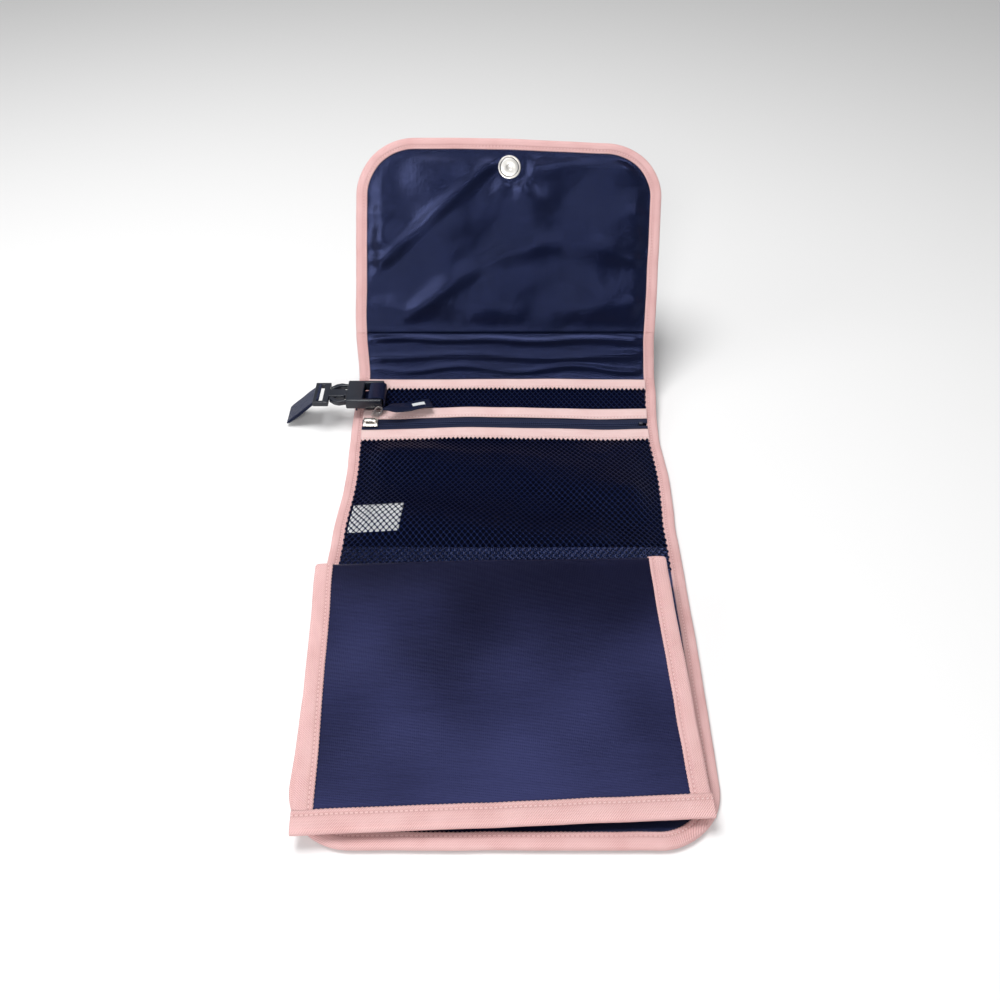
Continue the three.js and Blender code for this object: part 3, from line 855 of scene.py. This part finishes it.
def plastic_stock():
    """Moulded acetal: fine spark texture and random rubbed patches that are paler and rougher."""
    material = bpy.data.materials.new("moulded_plastic")
    material.use_nodes = True
    tree = material.node_tree
    shader = tree.nodes["Principled BSDF"]
    where = tree.nodes.new("ShaderNodeTexCoord")
    spark = speckle(tree, where.outputs["Object"], 1500, 2)
    rub = speckle(tree, where.outputs["Object"], 120, 3)
    dyed = blend_colours(tree, rub, (0.006, 0.008, 0.014, 1), (0.014, 0.018, 0.030, 1))
    tree.links.new(dyed, shader.inputs["Base Color"])
    tree.links.new(maths(tree, "MULTIPLY_ADD", rub, 0.25, 0.2), shader.inputs["Roughness"])
    add_bump(tree, shader, spark, 0.12, 0.0001)
    return material


plastic = plastic_stock()
for node, word, radius, segments in (
    ("buckle_socket", "shell", 1.0, 4),
    ("buckle_plug", "frame", 0.7, 4),
    ("buckle_prong_front", "arm", 0.6, 3),
    ("buckle_prong_back", "arm", 0.6, 3),
):
    softened(f"{node}_{word}", node, radius, segments, plastic, node)


def webbing_cloth():
    """Glossy nylon webbing with coarse slanting threads."""
    material, tree, shader, cloth = start_cloth("nylon_webbing", 0.38, 0.3, (0.4, 0.5, 1, 1))
    threads = place_group(tree, thread_pattern, Cloth=cloth, Pitch=1.6, Slant=1.0)
    part = maths(tree, "MULTIPLY_ADD", threads["Height"], 0.3, 0.45)
    dyed = blend_colours(tree, part, (0.002, 0.003, 0.010, 1), (0.008, 0.012, 0.045, 1))
    tree.links.new(dyed, shader.inputs["Base Color"])
    add_bump(tree, shader, threads["Height"], 0.7, 0.0005)
    return material


webbing = webbing_cloth()
WEB_HALF = 10.3
socket_bar = pivots["strap_swing"]
plug_bar = pivots["loop_swing"]


def strap(name, turns, origin, material, body, replaced, seed):
    """Webbing that follows a closed or open line of points in its own x and z."""
    runs = [0]
    for before, after in zip(turns, turns[1:]):
        runs.append(runs[-1] + math.hypot(after[0] - before[0], after[1] - before[1]))

    def place(a, b):
        row = min(range(len(runs)), key=lambda index: abs(runs[index] - b))
        x, z = turns[row]
        return origin + Vector((x, a, z + 0.25 * mottle(a, b, 9, seed)))

    piece = lay(name, steps(-WEB_HALF, WEB_HALF, 1), runs, place, 1.1, material)
    stand_for(piece, replaced, body)
    return piece


def loop_line():
    """The hanging loop: round the bar, out and down, and back, pinched at its tip."""
    line = []
    droop = math.radians(40)
    tip, thick = 27.4, 4.1
    for index in range(65):
        turn = 2 * math.pi * index / 64
        reach = 15.8 - 15.6 * math.cos(turn)
        x = (tip / 2 + thick) * math.cos(turn) - tip / 2
        z = thick * math.sin(turn) * (0.55 + 0.45 * abs(math.sin(turn)))
        z -= 1.2 * math.sin(math.pi * min(1, reach / 31.4))
        line.append(
            (
                x * math.cos(droop) + z * math.sin(droop),
                x * math.sin(droop) + z * math.cos(droop),
            )
        )
    return line


strap("strap_loop_webbing", loop_line(), plug_bar, webbing, "strap_loop", "strap_loop", 3)
tab_line = [(-19.0, -7.9), (-19.0, -4.6), (-12, -4.4), (-4, -4.5), (1.5, -4.6), (3.0, -3.2), (3.4, 0)]
tab_line += [(3.0, 2.6), (1.4, 3.8), (-2, 4.1), (-5.5, 4.0), (-8.2, 3.6), (-9.0, 2.2), (-9.0, 0)]
tab_line += [(-9.0, -3.9)]
strap("strap_tab_webbing", tab_line, socket_bar, webbing, "back_panel", "strap_tab", 5)

# Top spine.
# The narrow wall above the zip, which becomes the bag's top when it is closed. Each layer is in two
# halves. Its satin lining is loose and falls in long creases.


def crease_height(a, b):
    """Long soft creases of the lining along the spine and at the flap's foot."""
    wander = 3.0 * mottle(a, 0, 55, 11)
    height = -1.0 * math.exp(-(((b - FLAP_FOLD - 3 - wander) / 5) ** 2))
    height += 2.4 * math.exp(-(((b - FLAP_FOLD + 6 - wander) / 2.6) ** 2))
    height += 1.9 * math.exp(-(((b - FLAP_FOLD + 19 + 1.6 * math.sin(a * 0.045)) / 3.0) ** 2))
    height += 1.7 * math.exp(-(((b - TOP_FOLD - 9 + 2.4 * math.sin(a * 0.07 + 1)) / 2.6) ** 2))
    return height * ease(b, TOP_FOLD, TOP_FOLD + 4)


def spine_pair(name, level, thick, material, replaced, loose, folds):
    """Both halves of one layer of a spine between two folds."""
    start, end = folds
    middle = (start + end) / 2

    def place(a, b):
        sides = ease(HALF - 9 - abs(a), 0, 8)
        extra = crease_height(a, b) * sides if loose else 0
        return on_strip(a, b, level + extra)

    halves = []
    for part, low, high in (("near", start, middle), ("far", middle, end)):
        across, along = steps(SKIN - HALF, HALF - SKIN, 2.5), steps(low, high, 0.8)
        piece = lay(f"{name}_{part}", across, along, place, thick, material)
        stand_for(piece, replaced)
        halves.append(piece)
    hinge_halves(halves, folds)


def spine_layers(name, loose, folds):
    """The satin lining of a spine and the canvas outside it."""
    lining, outer = f"{name}_lining", f"{name}_canvas"
    spine_pair(f"{name}_satin", LINING_LEVEL, 0.4, satin, lining, loose, folds)
    spine_pair(f"{name}_outer", CANVAS_LEVEL, 0.7, canvas, outer, False, folds)


def hinge_halves(halves, folds):
    """Bakes both halves' transforms into their meshes; neither half is turned at a fold."""
    start, end = folds
    near_start, near_end = on_strip(0, start, 0), on_strip(0, start + 8, 0)
    far_start, far_end = on_strip(0, end - 8, 0), on_strip(0, end, 0)
    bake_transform(halves[0])
    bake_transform(halves[1])


top_folds = (TOP_FOLD, FLAP_FOLD)
spine_layers("top_spine", True, top_folds)


def spine_bindings(name, folds, seed):
    start, end = folds
    middle = (start + end) / 2
    for side, word in ((-1, "left"), (1, "right")):
        halves = []
        for part, low, high in (("near", start, middle), ("far", middle, end)):
            replaced = f"{name}_binding_{word}"
            path = straight_edge(side, low, high)
            piece = bind(f"{replaced}_{part}", path, low, binding_cloth, None, replaced, seed + side)
            halves.append(piece)
        hinge_halves(halves, folds)


spine_bindings("top_spine", top_folds, 20)

# Flap.
# Canvas, board and a loose satin lining in one rounded panel, bound round three sides in one run of
# tape. The lining puckers round the snap and hangs in wide soft creases.

FLAP_RADIUS = 45
flap_shape = (FLAP_FOLD, 1, FLAP_LENGTH, FLAP_RADIUS)


def rounded_reach(out, length, half, radius):
    """Half the width of a panel with rounded far corners, that far out from its fold."""
    over = out - (length - radius)
    if over <= 0:
        return half
    return half - radius + math.sqrt(max(0, radius**2 - over**2))


def rounded_sheet(name, panel, level, thick, height, material, replaced, body):
    """One layer of a rounded panel.

    The panel is given by its fold, 1 or -1 for its way along the strip, its length and its radius.
    """
    fold, away, length, radius = panel
    inset = 3.0
    rows = steps(0, length - inset, 2)

    def place(a, b):
        reach = rounded_reach(b, length - inset, HALF - inset, radius - inset)
        across = a * reach
        return on_strip(across, fold + away * b, level + height(across, b))

    def cloth(a, b):
        return a * rounded_reach(b, length - inset, HALF - inset, radius - inset), fold + away * b

    piece = lay(name, steps(-1, 1, 0.02), rows, place, thick, material, cloth)
    stand_for(piece, replaced)
    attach(piece, body)
    return piece


snap_low, snap_high = (point * 1000 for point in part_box("snap_socket_cup"))
snap_middle = (snap_low + snap_high) / 2
SNAP_ACROSS = snap_middle.x - bag_centre
SNAP_OUT = 129


def flap_puckers(a, b):
    """Creases of the flap's lining, in mm above its flat level."""
    reach = rounded_reach(b, FLAP_LENGTH - 9, HALF - 9, FLAP_RADIUS - 9)
    sides = ease(reach - abs(a), 0, 12) * ease(FLAP_LENGTH - 9 - b, 0, 12)
    soft = 4.2 * mottle(a + 0.4 * b, b - 0.3 * a, 50, 31) + 1.5 * mottle(a, b, 24, 32)
    fold_one = 2.2 * math.exp(-(((b - 62 - 0.35 * a + 0.004 * a * a) / 9) ** 2))
    fold_two = 2.0 * math.exp(-(((b - 100 - 0.9 * (a + 50)) / 7) ** 2)) * ease(-a, -10, 30)
    angle = math.atan2(b - SNAP_OUT, a - SNAP_ACROSS)
    distance = math.hypot(a - SNAP_ACROSS, b - SNAP_OUT)
    settled = ease(b, 2, 22)
    rays = 1.0 * math.cos(angle * 6 + 0.5) * math.exp(-(((distance - 20) / 12) ** 2))
    flat_round_snap = ease(distance, 9, 16)
    edge = 0.5 * math.sin(b * 0.35 + 2 * mottle(b, 0, 20, 3)) * ease(abs(a), 80, 108)
    edge *= ease(reach - abs(a), 0, 3) * ease(FLAP_LENGTH - 9 - b, 10, 60)
    hanging = (soft + fold_one + fold_two + rays) * flat_round_snap + 1.2 + 0.8 * flat_round_snap
    at_fold = crease_height(a, FLAP_FOLD + b) * ease(HALF - 9 - abs(a), 0, 8)
    height = hanging * sides * settled + edge * settled + at_fold
    return 0.5 * (height + math.sqrt(height**2 + 0.8)) - 0.1


rounded_sheet(
    "flap_lining_satin", flap_shape, LINING_LEVEL, 0.4, flap_puckers, satin, "flap_lining", "flap",
)


def no_height(a, b):
    return 0


rounded_sheet(
    "flap_outer_canvas", flap_shape, CANVAS_LEVEL, 0.7, no_height, canvas, "flap_canvas", "flap",
)


def rounded_edge(fold, away, length, radius):
    """Points round three sides of a panel, from its left side over its far end to its right."""
    path = []
    for out in steps(0, length - radius, 0.7):
        path.append((-HALF, fold + away * out, 1, 0))
    for index in range(1, 80):
        turn = math.pi / 2 * index / 80
        centre = (radius - HALF, length - radius)
        across = centre[0] - radius * math.cos(turn)
        out = centre[1] + radius * math.sin(turn)
        path.append((across, fold + away * out, math.cos(turn), -away * math.sin(turn)))
    for across in steps(radius - HALF, HALF - radius, 0.7):
        path.append((across, fold + away * length, 0, -away))
    for index in range(79, 0, -1):
        turn = math.pi / 2 * index / 80
        across = HALF - radius + radius * math.cos(turn)
        out = length - radius + radius * math.sin(turn)
        path.append((across, fold + away * out, -math.cos(turn), -away * math.sin(turn)))
    for out in steps(length - radius, 0, 0.7):
        path.append((HALF, fold + away * out, -1, 0))
    return path


flap_path = rounded_edge(*flap_shape)
bind("flap_binding_tape", flap_path, 0, binding_cloth, "flap", "flap_binding", 41)

# Magnetic snap.
# A plated cup pressed through the lining with a pale magnet ring in it, its stud on the outside of
# the front panel, and a washer behind each, between the cloth layers.

magnet_metal = metal_stock("magnet_plating", (0.80, 0.78, 0.74), 0.34, 180)
softened("snap_cup_metal", "snap_socket_cup", 0.25, 3, nickel, "flap")
softened("snap_magnet_metal", "snap_socket_magnet", 0.2, 3, magnet_metal, "flap")
softened("snap_stud_metal", "snap_stud", 0.25, 3, nickel, "front_panel")
for name in ("snap_socket_washer", "snap_stud_washer"):
    cad_nodes[name].data.materials.clear()
    cad_nodes[name].data.materials.append(nickel)

# Bottom spine.
# The wall between the back and front panels, under the leaf's fold. It is made like the top one.

bottom_folds = (FRONT_FOLD, 0)
spine_layers("bottom_spine", False, bottom_folds)
spine_bindings("bottom_spine", bottom_folds, 20)

# Front panel.
# The bag's front, which lies open towards the camera's side under the leaf. It is layered and bound
# like the flap.

FRONT_RADIUS = 38
front_shape = (FRONT_FOLD, -1, FRONT_LENGTH, FRONT_RADIUS)


def front_puckers(a, b):
    reach = rounded_reach(b, FRONT_LENGTH - 9, HALF - 9, FRONT_RADIUS - 9)
    sides = ease(reach - abs(a), 0, 12) * ease(FRONT_LENGTH - 9 - b, 0, 10)
    return (0.8 * mottle(a, b, 26, 51) + 0.5 * mottle(a, b, 11, 52)) * sides


rounded_sheet(
    "front_lining_satin", front_shape, LINING_LEVEL, 0.4, front_puckers, satin, "front_lining",
    "front_panel",
)
rounded_sheet(
    "front_outer_canvas", front_shape, CANVAS_LEVEL, 0.7, no_height, canvas, "front_canvas",
    "front_panel",
)
front_path = rounded_edge(*front_shape)


def board_place(a, b):
    reach = rounded_reach(b, FRONT_LENGTH - 11, HALF - 11, FRONT_RADIUS - 11)
    return on_strip(a * reach, FRONT_FOLD - b, -2.3)


board_grid = steps(-1, 1, 0.04), steps(3, FRONT_LENGTH - 11, 4)
front_board = lay("front_board_sheet", *board_grid, board_place, 1.6, board)
stand_for(front_board, "front_board", "front_panel")
bind("front_binding_tape", front_path, 0, binding_cloth, "front_panel", "front_binding", 43)

# Leaf.
# A canvas page that stands up from the front panel on a short wall, turns over a round fold and
# lies down over the panel. Its sides and foot are bound in the same tape.

leaf_joint = next(joint for joint in frame["joints"] if joint["name"] == "leaf_lift")
leaf_fold = pivots["leaf_lift"]
leaf_across = Vector((leaf_joint["axis"][0], leaf_joint["axis"][1], 0)).normalized()
LEAF_SLOPE = math.radians(7.8)
leaf_level = Vector((leaf_across.y, -leaf_across.x, 0))
leaf_out = leaf_level * math.cos(LEAF_SLOPE) - Vector((0, 0, math.sin(LEAF_SLOPE)))
leaf_up = leaf_level * math.sin(LEAF_SLOPE) + Vector((0, 0, math.cos(LEAF_SLOPE)))
LEAF_HALF = 110.5
LEAF_LENGTH = 169
FOLD_ROUND = 2.8


def tucked(across):
    """How far the right end of the fold is pushed forward, clear of the folded bottom spine."""
    return leaf_level * (3.2 * ease(across, -30, 110))


def on_leaf(across, out, lift):
    """A place on the leaf: out from its fold, and lift above its middle. Below 0 it turns down."""
    if out >= 0:
        middle = math.sin(math.pi * min(1, out / LEAF_LENGTH))
        droop = -2.4 * middle * (1 - (across / 150) ** 2)
        droop += 1.6 * middle * mottle(across, out * 1.6, 75, 66) + 0.7 * math.sin(out * 0.1) * middle
        place = leaf_fold + leaf_across * across + leaf_out * out + leaf_up * (lift + droop)
        return place + tucked(across) * ease(18 - out, 0, 18)
    radius = FOLD_ROUND + lift
    turn = min(-out / FOLD_ROUND, math.pi / 2)
    centre = leaf_fold - leaf_up * FOLD_ROUND
    place = centre + leaf_across * across
    place += leaf_up * (radius * math.cos(turn)) - leaf_out * (radius * math.sin(turn))
    down = max(0, -out - FOLD_ROUND * math.pi / 2)
    return place - leaf_up * down + tucked(across)


def page_sheet(name, level, material, replaced):
    """One layer of the leaf, from the foot of its fold to its own foot."""
    inset, start, thick = 1.5, -9, 0.7

    def place(a, b):
        flat = 0.5 * mottle(a, b, 60, 61) * ease(b, 0, 10)
        return on_leaf(a, b, level + flat)

    rows = [-row for row in reversed(steps(0, -start, 0.7))] + steps(0, LEAF_LENGTH - 2, 3)[1:]
    piece = lay(name, steps(inset - LEAF_HALF, LEAF_HALF - inset, 4), rows, place, thick, material)
    stand_for(piece, replaced)
    fold_blend(piece)


def fold_blend(piece):
    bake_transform(piece)


page_sheet("page_canvas_cloth", 0.55, leaf_canvas, "page_canvas")
page_sheet("page_backing_cloth", -0.45, satin, "page_backing")


def page_binding(name, edge, replaced, seed):
    """Tape folded over one side of the leaf, or over its foot."""
    width = 11.0
    flat = width - 1.4
    section = [(width - index * flat / 7, 1.35, index * flat / 7) for index in range(7)]
    for index in range(7):
        turn = math.pi * index / 6
        section.append((1.4 - 1.35 * math.sin(turn), 1.35 * math.cos(turn), 9.6 + index * 0.7))
    section += [(1.4 + index * flat / 3, -1.35, 13.9 + index * 3.2) for index in range(1, 4)]
    if edge == "foot":
        section = [(inset * 1.15, lift * 1.35, run) for inset, lift, run in section]
        rows = steps(-LEAF_HALF - 0.5, LEAF_HALF + 0.5, 0.7)
    else:
        rows = [-row for row in reversed(steps(0, 8, 0.7))] + steps(0, LEAF_LENGTH - 1, 0.7)[1:]

    def place(column, run):
        inset, lift, _ = section[column]
        if column == 0:
            inset += 0.22 * math.sin(2 * math.pi * run / 2.4)
        if column < 8:
            lift += 0.3 * math.sin(math.pi * column / 8) + 0.2 * mottle(run, column * 2, 14, seed)
        inset += 0.35 * mottle(run, 0, 22, seed + 5)
        if edge == "foot":
            return on_leaf(run, LEAF_LENGTH - inset, lift)
        return on_leaf(edge * (LEAF_HALF - inset), run, lift)

    def cloth(column, run):
        return section[column][2], run

    piece = lay(name, range(len(section)), rows, place, 0.55, binding_cloth, cloth)
    stand_for(piece, replaced)
    return piece


fold_blend(page_binding("page_binding_left_tape", -1, "page_binding_left", 61))
fold_blend(page_binding("page_binding_right_tape", 1, "page_binding_right", 62))
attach(page_binding("page_binding_foot_tape", "foot", "page_binding_bottom", 63), "leaf_page")


def wall_place(a, b):
    foot = leaf_fold - leaf_up * 4
    lowest = 5.6
    part = b / 30
    place = foot + leaf_across * a + leaf_level * -1.9 + tucked(a)
    place.z = place.z + (lowest - place.z) * (1 - part)
    return place + leaf_level * (-0.4 * math.sin(math.pi * part) - 0.3 * mottle(a, b, 18, 71))


wall_grid = steps(9 - LEAF_HALF, LEAF_HALF - 9, 4), steps(0, 30, 2)
leaf_wall = lay("leaf_wall_cloth", *wall_grid, wall_place, 0.8, canvas)
stand_for(leaf_wall, "leaf_wall")
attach(leaf_wall, "front_panel")
for side, word in ((-1, "left"), (1, "right")):
    inner, outer = side * (LEAF_HALF - 9.6), side * LEAF_HALF
    edge_grid = steps(inner, outer, 1), steps(0, 30, 1)
    edge_piece = lay(f"leaf_wall_edge_{word}", *edge_grid, wall_place, 1.8, binding_cloth)
    stand_for(edge_piece, f"leaf_wall_binding_{word}", "front_panel")
